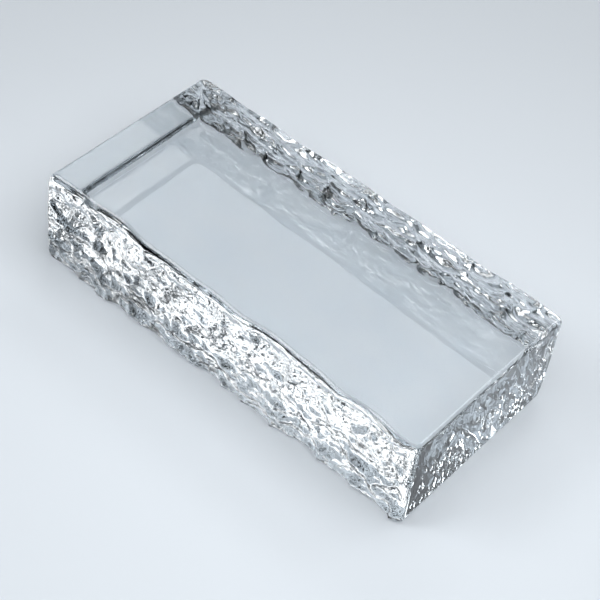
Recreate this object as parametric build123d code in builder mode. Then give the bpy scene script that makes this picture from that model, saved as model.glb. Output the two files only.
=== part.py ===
"""Solid cast glass block for walls, laid on its large smooth faces.

Millimetres. X runs along the block, Y across it, Z up. The origin is at the
middle of the underside. The two long sides are rock-faced: each is a rolling
surface that swells out below the top edge, broken by shallow shell-shaped
chips, and the near one has a bevel along its top edge. The top, the underside
and both ends are smooth.
"""

from build123d import *
from math import pi, sin
from random import Random
import os

os.makedirs("parts", exist_ok=True)

# Overall size
length = 200.0
width = 100.0
height = 50.0

# Edges between the smooth faces, and the upright corners
top_end_radius = 2.5
bottom_end_radius = 4.0
rough_corner_radius = 5.0

# Section of a rock face: its edges stand back from the widest line, and the
# top edge of the near side stands back further towards the left end
top_setback = 1.8
top_roll = 14.0
bottom_setback = 3.0
bottom_roll = 10.0
near_lean = 3.8
far_lean = 0.0

# Bevel along the top edge of the near side
bevel_height = 2.2
bevel_width = 1.8

# Waves along a rock face, with the place in the wave where each side starts
long_wave = 97.0
middle_wave = 47.0
short_wave = 27.0
wave_depth = 2.8
wave_drift = 0.045
near_phase = 23.7
far_phase = 4.1
crest_trim = 0.5

# Chips broken out of a rock face, on a loose grid
chip_radius = 33.0
chip_spread = 8.0
chip_depth = 2.2
chip_spacing = 21.5
chip_wander = 0.3
chip_top_margin = 12.0
chip_bottom_margin = 5.0
clean_corner_band = 10.0
near_seed = 11
far_seed = 12

# Spacing of the points that carry a rolling surface
surface_step = 6.25


def roll(distance, reach, setback):
    """How far a face has rolled back, at a distance from its edge."""
    return setback * max(0.0, 1.0 - distance / reach) ** 2.4


def waves(x, z, phase):
    """Rolling of a rock face, from 0 on a crest to 1 in a hollow."""
    drift = wave_drift * (z - height / 2)
    long_part = 0.40 * sin(2 * pi * x / long_wave + phase + drift)
    middle_part = 0.35 * sin(2 * pi * x / middle_wave + 2.1 * phase - 2.0 * drift)
    short_part = 0.25 * sin(2 * pi * x / short_wave + 3.7 * phase + 3.0 * drift)
    return 0.5 + 0.5 * (long_part + middle_part + short_part)


def half_width(x, z, phase, lean):
    """Distance from the middle of the block to its rolling surface."""
    leaning_setback = top_setback + lean * (0.5 - x / length)
    edge_rolls = roll(height - z, top_roll, leaning_setback) + roll(z, bottom_roll, bottom_setback)
    return width / 2 + crest_trim - edge_rolls - wave_depth * waves(x, z, phase)


def stations(first, last, step):
    """Evenly spaced stations that run one step past both limits."""
    count = round((last - first) / step)
    spacing = (last - first) / count
    return [first + spacing * index for index in range(-1, count + 2)]


def rolling_surface(side, phase, lean):
    """One rock face before chipping, past the block on all four edges."""
    xs = stations(-length / 2, length / 2, surface_step)
    zs = stations(0, height, surface_step)
    rows = [[Vector(x, side * half_width(x, z, phase, lean), z) for x in xs] for z in zs]
    return Face.make_surface_from_array_of_points(rows)


def bevel_surface(side, phase, lean):
    """Leaning strip along the top edge of one rock face, past the edge above and below."""
    xs = stations(-length / 2, length / 2, surface_step)
    foot = height - bevel_height
    rows = []
    for share in (-1, 0, 1, 2):
        z = foot + share * bevel_height
        rows.append([Vector(x, side * (half_width(x, foot, phase, lean) - share * bevel_width), z) for x in xs])
    return Face.make_surface_from_array_of_points(rows)


def chip_balls(side, phase, lean, last, seed):
    """Balls that leave the chips of one face, in sets that don't meet."""
    draw = Random(seed)
    first = -length / 2
    columns = round((last - first) / chip_spacing)
    chipped_height = height - chip_top_margin - chip_bottom_margin
    rows = round(chipped_height / chip_spacing)
    apart = 3
    sets = [[] for _ in range(apart * (rows + 1))]
    for row in range(rows + 1):
        for column in range(columns + 1):
            across = column + 0.5 * (row % 2) + draw.uniform(-chip_wander, chip_wander)
            up = row + draw.uniform(-chip_wander, chip_wander)
            x = first + across * (last - first) / columns
            z = chip_bottom_margin + up * chipped_height / rows
            radius = chip_radius + draw.uniform(-chip_spread, chip_spread)
            depth = chip_depth * draw.uniform(0.5, 1.0)
            reach = half_width(x, max(z, 0.0), phase, lean) - depth + radius
            sets[apart * row + column % apart].append(Pos(x, side * reach, z) * Sphere(radius))
    return sets


near_balls = chip_balls(-1, near_phase, near_lean, length / 2 - clean_corner_band, near_seed)
far_balls = chip_balls(1, far_phase, far_lean, length / 2, far_seed)

with BuildPart() as glass_block:
    # Smooth block, with its end edges and rough corners rounded
    with BuildSketch(Plane.XZ):
        with Locations((0, height / 2)):
            Rectangle(length, height)
        fillet(vertices().group_by(Axis.Y)[-1], top_end_radius)
        fillet(vertices().group_by(Axis.Y)[0], bottom_end_radius)
    extrude(amount=width / 2, both=True)
    corners = edges().filter_by(Axis.Z)
    fillet(corners - corners.sort_by(Axis.X)[-2:].sort_by(Axis.Y)[0:1], rough_corner_radius)

    # Rolling surfaces of the two long sides
    extrude(rolling_surface(-1, near_phase, near_lean), amount=width / 2, dir=(0, -1, 0), mode=Mode.SUBTRACT)
    extrude(rolling_surface(1, far_phase, far_lean), amount=width / 2, dir=(0, 1, 0), mode=Mode.SUBTRACT)

    extrude(bevel_surface(-1, near_phase, near_lean), amount=width / 2, dir=(0, -1, 0), mode=Mode.SUBTRACT)

    # Chips
    for near_set, far_set in zip(near_balls, far_balls):
        add(near_set + far_set, mode=Mode.SUBTRACT)

glass_block.part.label = "glass_block"
export_step(glass_block.part, "parts/glass_block.step")
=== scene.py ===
import math

import bpy
import numpy as np
from mathutils import Matrix, Vector
from mathutils.bvhtree import BVHTree


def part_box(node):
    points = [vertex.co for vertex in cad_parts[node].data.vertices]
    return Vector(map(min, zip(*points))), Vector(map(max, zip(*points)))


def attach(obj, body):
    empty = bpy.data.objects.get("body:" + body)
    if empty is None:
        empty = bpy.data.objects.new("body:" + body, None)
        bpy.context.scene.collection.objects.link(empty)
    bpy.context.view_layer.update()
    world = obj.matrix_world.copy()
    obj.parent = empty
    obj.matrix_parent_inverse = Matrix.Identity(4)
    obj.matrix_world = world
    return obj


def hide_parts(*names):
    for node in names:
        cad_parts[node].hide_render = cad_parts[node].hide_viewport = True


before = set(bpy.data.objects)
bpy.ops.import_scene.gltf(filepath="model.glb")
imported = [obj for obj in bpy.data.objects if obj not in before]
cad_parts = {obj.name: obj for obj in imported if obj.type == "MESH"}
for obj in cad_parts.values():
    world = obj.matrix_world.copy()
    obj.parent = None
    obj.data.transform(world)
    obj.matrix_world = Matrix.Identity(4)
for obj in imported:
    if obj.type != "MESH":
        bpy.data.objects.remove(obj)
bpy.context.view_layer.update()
blockLow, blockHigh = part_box("glass_block")
blockSize = blockHigh - blockLow
print("frame loaded, block size", tuple(round(v, 4) for v in blockSize))

scene = bpy.context.scene


# The camera

viewpoint = {
    "aim": (0.0064, -0.0041, 0.025),
    "azimuth": 34.6,      # degrees from straight on to the near long side, towards the right end
    "elevation": 47.1,
    "roll": 8.9,          # degrees, the block stands askew in the frame
    "distance": 0.7166,
    "lens": 103.07,
}


def addCamera():
    camera = bpy.data.objects.new("camera", bpy.data.cameras.new("camera"))
    scene.collection.objects.link(camera)
    azimuth = math.radians(viewpoint["azimuth"])
    elevation = math.radians(viewpoint["elevation"])
    back = Vector((math.sin(azimuth) * math.cos(elevation),
                   -math.cos(azimuth) * math.cos(elevation),
                   math.sin(elevation)))
    turn = back.to_track_quat("Z", "Y").to_matrix().to_4x4()
    roll = Matrix.Rotation(math.radians(viewpoint["roll"]), 4, "Z")
    spot = Vector(viewpoint["aim"]) + back * viewpoint["distance"]
    camera.matrix_world = Matrix.Translation(spot) @ turn @ roll
    camera.data.lens = viewpoint["lens"]
    camera.data.clip_start = 0.01
    scene.camera = camera
    print("camera set,", viewpoint["lens"], "mm lens")


addCamera()


# The dense mesh that the relief is raised on

blank = {
    "step": 0.00056,          # spacing of the points on the rock faces
    "topEndRadius": 0.0025,
    "bottomEndRadius": 0.004,
    "topArrisRadius": 0.0008,
    "bottomArrisRadius": 0.0012,
    "filletSteps": 8,         # divisions around a quarter turn of each rounded edge
    "softenAlong": 0.0016,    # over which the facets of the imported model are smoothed
    "softenUp": 0.0005,
    "flatRings": (0.0006, 0.0014, 0.003, 0.006),   # insets that keep flat faces flat to their edges
    "flatShare": (0.9, 0.7, 0.4, 0.0),             # how much of the relief's shift each one follows
    "sureInset": 0.0001,      # how far inside its ends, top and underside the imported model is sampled
    "roughEndFade": 0.0022,   # the relief dies out this near to an end
    "cleanEndFade": 0.006,    # and this near to the clean corner
    "topPlain": 0.0022,       # plain band under the top edge
    "topFade": 0.0035,        # band below that one, over which the relief grows in
}


# how far a rounded edge falls away, at a distance inside its face
def filletDrop(distance, radius):
    inside = np.clip(radius - distance, 0.0, radius)
    return radius - np.sqrt(radius * radius - inside * inside)


# 0 at an edge, 1 beyond reach from it, with no corner between
def fade(distance, reach):
    t = np.clip(distance / reach, 0.0, 1.0)
    return t * t * (3.0 - 2.0 * t)


# even spacing between two limits, with the rounded edges divided by angle
def spacedValues(low, high, step, lowRadius, highRadius):
    share = 1.0 - np.cos(np.linspace(0.0, math.pi / 2, blank["filletSteps"] + 1)[:-1])
    first, last = low + lowRadius, high - highRadius
    middle = np.linspace(first, last, round((last - first) / step) + 1)
    return np.concatenate([low + lowRadius * share, middle, (high - highRadius * share)[::-1]])


# smooths a grid along one axis, holding its border
def gaussian(values, sigmaPoints, axis):
    reach = max(1, int(3 * sigmaPoints))      # past three sigma the weights are next to nothing
    offsets = np.arange(-reach, reach + 1)
    weights = np.exp(-0.5 * (offsets / sigmaPoints) ** 2)
    weights /= weights.sum()
    margins = [(reach, reach) if a == axis else (0, 0) for a in range(values.ndim)]
    padded = np.pad(values, margins, mode="edge")
    length = values.shape[axis]
    return sum(w * np.take(padded, range(k, k + length), axis=axis) for k, w in enumerate(weights))


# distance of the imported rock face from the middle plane, at each point
def sampleFace(tree, side, xs, zGrid):
    reach = np.zeros(zGrid.shape)
    limit = blockSize.x / 2 - blank["sureInset"]
    for i, x in enumerate(np.clip(xs, -limit, limit)):
        for j, z in enumerate(zGrid[i]):
            hit = tree.ray_cast(Vector((x, side * blockSize.y, z)), Vector((0, -side, 0)))[0]
            reach[i, j] = abs(hit.y) if hit else reach[i, j - 1]
    return reach


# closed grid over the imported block: loops across it, strung along its length
def makeBlank():
    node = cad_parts["glass_block"]
    tree = BVHTree.FromPolygons([v.co for v in node.data.vertices],
                                [p.vertices for p in node.data.polygons])
    half = blockSize.x / 2
    xs = spacedValues(-half, half, blank["step"], blank["bottomEndRadius"], blank["bottomEndRadius"])
    fromEnd = half - np.abs(xs)
    tops = blockSize.z - filletDrop(fromEnd, blank["topEndRadius"])
    bottoms = filletDrop(fromEnd, blank["bottomEndRadius"])
    heights = spacedValues(0.0, blockSize.z, blank["step"],
                           blank["bottomArrisRadius"], blank["topArrisRadius"])
    zGrid = bottoms[:, None] + heights[None, :] / blockSize.z * (tops - bottoms)[:, None]
    probe = np.clip(zGrid, blank["sureInset"], blockSize.z - blank["sureInset"])
    fromTop, fromBottom = tops[:, None] - zGrid, zGrid - bottoms[:, None]
    pullIn = (filletDrop(fromTop, blank["topArrisRadius"])
              + filletDrop(fromBottom, blank["bottomArrisRadius"]))

    # loops run up the near face, over the top, down the far face and back under
    sides = []
    for side in (-1, 1):
        reach = sampleFace(tree, side, xs, probe)
        reach = gaussian(reach, blank["softenAlong"] / blank["step"], 0)
        reach = gaussian(reach, blank["softenUp"] / blank["step"], 1)
        sides.append(side * (reach - pullIn))
    near, far = sides
    steps = blank["flatRings"]
    rows = []
    for i, x in enumerate(xs):
        top = ([(x, near[i, -1] + step, tops[i]) for step in steps]
               + [(x, far[i, -1] - step, tops[i]) for step in reversed(steps)])
        under = ([(x, far[i, 0] - step, bottoms[i]) for step in steps]
                 + [(x, near[i, 0] + step, bottoms[i]) for step in reversed(steps)])
        rows.append([(x, y, z) for y, z in zip(near[i], zGrid[i])] + top
                    + [(x, y, z) for y, z in zip(far[i][::-1], zGrid[i][::-1])] + under)

    # narrow rings inside each end keep it flat up to its rounded edges
    loops = np.array(rows)
    middle = np.array((0.0, 0.0, blockSize.z / 2))
    rings = [1.0 - 2.0 * step / np.array(blockSize) for step in steps]
    first, last = [[middle + (loops[i] - middle) * (1.0, *ring[1:]) for ring in rings]
                   for i in (0, -1)]
    loops = np.concatenate([first[::-1], loops, last])
    columns, around = loops.shape[:2]
    index = np.arange(columns * around).reshape(columns, around)
    faces = []
    for i in range(columns - 1):
        for j in range(around):
            k = (j + 1) % around
            faces.append((index[i, j], index[i + 1, j], index[i + 1, k], index[i, k]))
    faces += [index[0], index[-1][::-1]]

    mesh = bpy.data.meshes.new("glassBlock")
    mesh.from_pydata(loops.reshape(-1, 3).tolist(), [], [[int(v) for v in face] for face in faces])
    mesh.validate()
    mesh.shade_smooth()

    # the share and sense of the relief's shift across the block: inwards on both sides,
    # dying out over the flat faces
    count, extra = len(heights), len(steps)
    cleanEnd = fade(half - xs, blank["cleanEndFade"])
    roughEnds = fade(fromEnd, blank["roughEndFade"])
    shares = []
    for side, ends in ((-1, np.minimum(cleanEnd, roughEnds)), (1, roughEnds)):
        shares.append(-side * ends[:, None] * fade(fromTop - blank["topPlain"], blank["topFade"]))
    shift = np.zeros((columns, around))
    inner = shift[extra:-extra]
    inner[:, :count] = shares[0]
    inner[:, count + 2 * extra:2 * (count + extra)] = shares[1][:, ::-1]
    underStart = 2 * (count + extra)
    for k, follow in enumerate(blank["flatShare"]):
        inner[:, underStart + k] = follow * shares[1][:, 0]
        inner[:, -1 - k] = follow * shares[0][:, 0]
    attribute = mesh.attributes.new("reliefShift", "FLOAT", "POINT")
    attribute.data.foreach_set("value", shift.reshape(-1).astype(np.float32))
    block = bpy.data.objects.new("glassBlock", mesh)
    scene.collection.objects.link(block)
    print("blank made,", len(mesh.polygons), "faces")
    return block


block = makeBlank()


# The glass

glassLook = {
    "tint": (0.66, 0.87, 0.99),
    "tintDensity": 1.6,
    "ior": 1.51,
    "cloudSize": 0.016,       # faint cloudy streaks in the cast glass
    "cloudStretch": 1.6,      # how much longer they are than wide
    "cloudDetail": 2.0,
    "cloudStops": ((0.38, (0.965, 0.975, 0.985)),      # level of the noise, colour
                   (0.58, (1.0, 1.0, 1.0))),
    "waveDepth": 0.00006,     # slight waviness of the surface
}


def makeGlass():
    material = bpy.data.materials.new("clearGlass")
    material.use_nodes = True
    nodes, links = material.node_tree.nodes, material.node_tree.links
    shader = nodes["Principled BSDF"]
    shader.inputs["Transmission Weight"].default_value = 1.0
    shader.inputs["Roughness"].default_value = 0.0
    shader.inputs["IOR"].default_value = glassLook["ior"]
    absorption = nodes.new("ShaderNodeVolumeAbsorption")
    absorption.inputs["Color"].default_value = (*glassLook["tint"], 1.0)
    absorption.inputs["Density"].default_value = glassLook["tintDensity"]
    links.new(absorption.outputs["Volume"], nodes["Material Output"].inputs["Volume"])

    # one cloudy pattern tints the glass and ripples its surface
    place = nodes.new("ShaderNodeTexCoord")
    stretch = nodes.new("ShaderNodeMapping")
    stretch.inputs["Scale"].default_value = (1.0 / glassLook["cloudStretch"], 1.0, 1.0)
    cloud = nodes.new("ShaderNodeTexNoise")
    cloud.inputs["Scale"].default_value = 1.0 / glassLook["cloudSize"]
    cloud.inputs["Detail"].default_value = glassLook["cloudDetail"]
    links.new(place.outputs["Object"], stretch.inputs["Vector"])
    links.new(stretch.outputs["Vector"], cloud.inputs["Vector"])
    colours = nodes.new("ShaderNodeValToRGB")
    for stop, (position, colour) in zip(colours.color_ramp.elements, glassLook["cloudStops"]):
        stop.position = position
        stop.color = (*colour, 1.0)
    links.new(cloud.outputs["Fac"], colours.inputs["Fac"])
    links.new(colours.outputs["Color"], shader.inputs["Base Color"])
    ripple = nodes.new("ShaderNodeBump")
    ripple.inputs["Distance"].default_value = glassLook["waveDepth"]
    links.new(cloud.outputs["Fac"], ripple.inputs["Height"])
    links.new(ripple.outputs["Normal"], shader.inputs["Normal"])
    return material


# The relief of the rock faces

relief = {
    "Lump Size": 0.0095,
    "Lump Depth": 0.0023,
    "Chip Size": 0.0055,
    "Chip Depth": 0.0014,
    "Far Chips": 0.4,         # how deep the chips of the far side are, next to the near side's
    "Wrinkle Size": 0.0022,
    "Wrinkle Depth": 0.00004,
    "Warp": 0.7,              # how far the creases wander, in hollows
    "Hollow Reach": 0.9,      # distance from a hollow's middle at which its ridge is full, in hollows
    "Hollow Power": 2.6,      # the higher, the flatter the hollow and the sharper its ridge
    "Swell": 0.0017,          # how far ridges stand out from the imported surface
    "Half Width": blockSize.y / 2,            # which no ridge passes
    "Swell Blend": 0.0008,    # over which the swell gives way to the room up to the half width
    "Seed": 7,
}


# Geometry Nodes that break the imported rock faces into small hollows, ridges and wrinkles
def makeReliefTree():
    tree = bpy.data.node_groups.new("rockRelief", "GeometryNodeTree")
    tree.interface.new_socket("Geometry", in_out="OUTPUT", socket_type="NodeSocketGeometry")
    tree.interface.new_socket("Geometry", in_out="INPUT", socket_type="NodeSocketGeometry")
    for name in relief:
        kind = "NodeSocketInt" if name == "Seed" else "NodeSocketFloat"
        tree.interface.new_socket(name, in_out="INPUT", socket_type=kind)
    tree.interface.new_socket("Glass", in_out="INPUT", socket_type="NodeSocketMaterial")
    nodes, links = tree.nodes, tree.links
    given = nodes.new("NodeGroupInput").outputs
    result = nodes.new("NodeGroupOutput")

    def plug(value, socket):
        if isinstance(value, bpy.types.NodeSocket):
            links.new(value, socket)
        else:
            socket.default_value = value

    def calc(operation, *values):
        node = nodes.new("ShaderNodeMath")
        node.operation = operation
        for value, socket in zip(values, node.inputs):
            plug(value, socket)
        return node.outputs[0]

    def vectorCalc(operation, *values, scale=None):
        node = nodes.new("ShaderNodeVectorMath")
        node.operation = operation
        for value, socket in zip(values, node.inputs):
            plug(value, socket)
        if scale is not None:
            plug(scale, node.inputs["Scale"])
        return node.outputs[0]

    def noise(vector, detail):
        node = nodes.new("ShaderNodeTexNoise")
        node.inputs["Scale"].default_value = 1.0
        node.inputs["Detail"].default_value = detail
        links.new(vector, node.inputs["Vector"])
        return node

    place = nodes.new("GeometryNodeInputPosition").outputs[0]
    seedShift = vectorCalc("SCALE", (3.1, 7.7, 5.3), scale=given["Seed"])   # another part of the noise

    # the place on the block counted in features of one size
    def counted(size):
        inFeatures = vectorCalc("SCALE", place, scale=calc("DIVIDE", 1.0, size))
        return vectorCalc("ADD", inFeatures, seedShift)

    # scooped cells, 1 at the middle of each and 0 on the ridges where they meet
    def hollows(size):
        at = counted(size)
        wander = vectorCalc("SUBTRACT", noise(at, 1.0).outputs["Color"], (0.5, 0.5, 0.5))
        warped = vectorCalc("ADD", at, vectorCalc("SCALE", wander, scale=given["Warp"]))
        cells = nodes.new("ShaderNodeTexVoronoi")
        cells.inputs["Scale"].default_value = 1.0
        links.new(warped, cells.inputs["Vector"])
        nearest = calc("MINIMUM", cells.outputs["Distance"], given["Hollow Reach"])
        away = calc("DIVIDE", nearest, given["Hollow Reach"])
        return calc("SUBTRACT", 1.0, calc("POWER", away, given["Hollow Power"]))

    # lumps, then chips and wrinkles on top of them
    depth = calc("MULTIPLY", hollows(given["Lump Size"]), given["Lump Depth"])
    split = nodes.new("ShaderNodeSeparateXYZ")
    links.new(place, split.inputs[0])
    far = calc("GREATER_THAN", split.outputs["Y"], 0.0)
    lessFar = calc("MULTIPLY", far, calc("SUBTRACT", 1.0, given["Far Chips"]))
    chipDepth = calc("MULTIPLY", given["Chip Depth"], calc("SUBTRACT", 1.0, lessFar))
    depth = calc("MULTIPLY_ADD", hollows(given["Chip Size"]), chipDepth, depth)
    wrinkles = noise(counted(given["Wrinkle Size"]), 1.0).outputs[0]
    depth = calc("MULTIPLY_ADD", wrinkles, given["Wrinkle Depth"], depth)

    # the ridges swell outwards by as much as the block's width leaves room for
    share = nodes.new("GeometryNodeInputNamedAttribute")
    share.data_type = "FLOAT"
    share.inputs["Name"].default_value = "reliefShift"
    room = calc("SUBTRACT", given["Half Width"], calc("ABSOLUTE", split.outputs["Y"]))
    swell = calc("SMOOTH_MIN", given["Swell"], room, given["Swell Blend"])
    inwards = calc("MULTIPLY", calc("SUBTRACT", depth, swell), share.outputs[0])
    move = nodes.new("GeometryNodeSetPosition")
    links.new(given["Geometry"], move.inputs["Geometry"])
    links.new(vectorCalc("SCALE", (0.0, 1.0, 0.0), scale=inwards), move.inputs["Offset"])

    realize = nodes.new("GeometryNodeRealizeInstances")
    finish = nodes.new("GeometryNodeSetMaterial")
    links.new(move.outputs[0], realize.inputs[0])
    links.new(realize.outputs[0], finish.inputs["Geometry"])
    links.new(given["Glass"], finish.inputs["Material"])
    links.new(finish.outputs[0], result.inputs[0])
    return tree


def raiseRelief(piece, material):
    tree = makeReliefTree()
    modifier = piece.modifiers.new("rockRelief", "NODES")
    modifier.node_group = tree
    for item in tree.interface.items_tree:
        if item.in_out == "INPUT" and item.name in relief:
            modifier[item.identifier] = relief[item.name]
        if item.in_out == "INPUT" and item.name == "Glass":
            modifier[item.identifier] = material
    evaluated = piece.evaluated_get(bpy.context.evaluated_depsgraph_get())
    mesh = bpy.data.meshes.new_from_object(evaluated)
    piece.modifiers.remove(modifier)
    piece.data = mesh
    mesh.shade_smooth()
    print("relief raised,", len(mesh.polygons), "faces")


raiseRelief(block, makeGlass())

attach(block, "root")
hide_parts("glass_block")


# Floor, lights and surroundings

studio = {
    "floorSize": 30.0,
    "floorGap": 0.0002,                   # between the block's underside and the floor
    "floorColour": (0.65, 0.70, 0.75),
    "floorRoughness": 0.9,
    "farColour": (0.66, 0.71, 0.76),      # the even tone that the floor takes on far out
    "farFrom": 0.22,                      # distance from the middle at which that tone sets in
    "farFull": 0.55,                      # and at which it has taken over
    "dome": ((0.0, 0.08), (0.15, 0.05), (0.5, 0.003)),   # height, where 1 is overhead, and level
    "domeTint": (0.97, 0.985, 1.0),
}

# azimuth and elevation in degrees, azimuth as for the camera, and power in watts
lamps = {
    "backLight": {"azimuth": 211.0, "elevation": 48.0, "distance": 0.88,
                  "size": (0.6, 0.22), "power": 1.1, "mirrored": False},
    "rightLight": {"azimuth": 146.0, "elevation": 48.0, "distance": 0.86,
                   "size": (0.3, 0.2), "power": 0.6, "mirrored": True},
    "leftLight": {"azimuth": 322.0, "elevation": 48.0, "distance": 0.86,
                  "size": (0.4, 0.24), "power": 2.1, "mirrored": True},
    "frontLight": {"azimuth": 70.0, "elevation": 72.0, "distance": 0.6,
                   "size": (0.6, 0.6), "power": 4.0, "mirrored": False},
}


def makeFloor():
    half = studio["floorSize"] / 2
    mesh = bpy.data.meshes.new("floor")
    z = blockLow.z - studio["floorGap"]
    corners = [(-half, -half, z), (half, -half, z), (half, half, z), (-half, half, z)]
    mesh.from_pydata(corners, [], [(0, 1, 2, 3)])
    floor = bpy.data.objects.new("floor", mesh)
    scene.collection.objects.link(floor)
    material = bpy.data.materials.new("paleFloor")
    material.use_nodes = True
    nodes, links = material.node_tree.nodes, material.node_tree.links
    shader = nodes["Principled BSDF"]
    shader.inputs["Base Color"].default_value = (*studio["floorColour"], 1.0)
    shader.inputs["Roughness"].default_value = studio["floorRoughness"]

    # far out the floor is pale by itself, seen straight, in reflections or through glass
    place = nodes.new("ShaderNodeTexCoord")
    away = nodes.new("ShaderNodeVectorMath")
    away.operation = "LENGTH"
    blend = nodes.new("ShaderNodeMapRange")
    blend.interpolation_type = "SMOOTHSTEP"
    blend.inputs["From Min"].default_value = studio["farFrom"]
    blend.inputs["From Max"].default_value = studio["farFull"]
    rays = nodes.new("ShaderNodeLightPath")
    links.new(place.outputs["Object"], away.inputs[0])
    links.new(away.outputs["Value"], blend.inputs["Value"])
    seen = rays.outputs["Is Camera Ray"]
    for kind in ("Is Glossy Ray", "Is Transmission Ray"):
        either = nodes.new("ShaderNodeMath")
        either.operation = "MAXIMUM"
        links.new(seen, either.inputs[0])
        links.new(rays.outputs[kind], either.inputs[1])
        seen = either.outputs[0]
    share = nodes.new("ShaderNodeMath")
    share.operation = "MULTIPLY"
    links.new(seen, share.inputs[0])
    links.new(blend.outputs["Result"], share.inputs[1])
    glow = nodes.new("ShaderNodeEmission")
    glow.inputs["Color"].default_value = (*studio["farColour"], 1.0)
    mix = nodes.new("ShaderNodeMixShader")
    links.new(share.outputs[0], mix.inputs[0])
    links.new(shader.outputs[0], mix.inputs[1])
    links.new(glow.outputs[0], mix.inputs[2])
    links.new(mix.outputs[0], nodes["Material Output"].inputs["Surface"])
    mesh.materials.append(material)


# a soft light that faces the block, and shows in mirror reflections only if mirrored
def addAreaLight(name, azimuth, elevation, distance, size, power, mirrored):
    light = bpy.data.lights.new(name, "AREA")
    light.shape = "RECTANGLE"
    light.size, light.size_y = size
    light.energy = power
    lamp = bpy.data.objects.new(name, light)
    scene.collection.objects.link(lamp)
    a, e = math.radians(azimuth), math.radians(elevation)
    back = Vector((math.sin(a) * math.cos(e), -math.cos(a) * math.cos(e), math.sin(e)))
    turn = back.to_track_quat("Z", "Y").to_matrix().to_4x4()
    lamp.matrix_world = Matrix.Translation(back * distance) @ turn
    lamp.visible_glossy = mirrored


# dark, and darkest overhead, so that the glass has something dark to bend into its creases
def makeWorld():
    world = bpy.data.worlds.new("studio")
    scene.world = world
    world.use_nodes = True
    nodes, links = world.node_tree.nodes, world.node_tree.links
    place = nodes.new("ShaderNodeTexCoord")
    split = nodes.new("ShaderNodeSeparateXYZ")
    ramp = nodes.new("ShaderNodeValToRGB")
    stops = ramp.color_ramp.elements
    while len(stops) < len(studio["dome"]):
        stops.new(0.5)
    for stop, (height, level) in zip(stops, studio["dome"]):
        stop.position = height
        stop.color = (*(level * tint for tint in studio["domeTint"]), 1.0)
    links.new(place.outputs["Generated"], split.inputs["Vector"])
    links.new(split.outputs["Z"], ramp.inputs["Fac"])
    links.new(ramp.outputs["Color"], nodes["Background"].inputs["Color"])


makeFloor()
for name, settings in lamps.items():
    addAreaLight(name, **settings)
makeWorld()
scene.view_settings.view_transform = "Standard"
print("floor,", len(lamps), "lights and surroundings made")
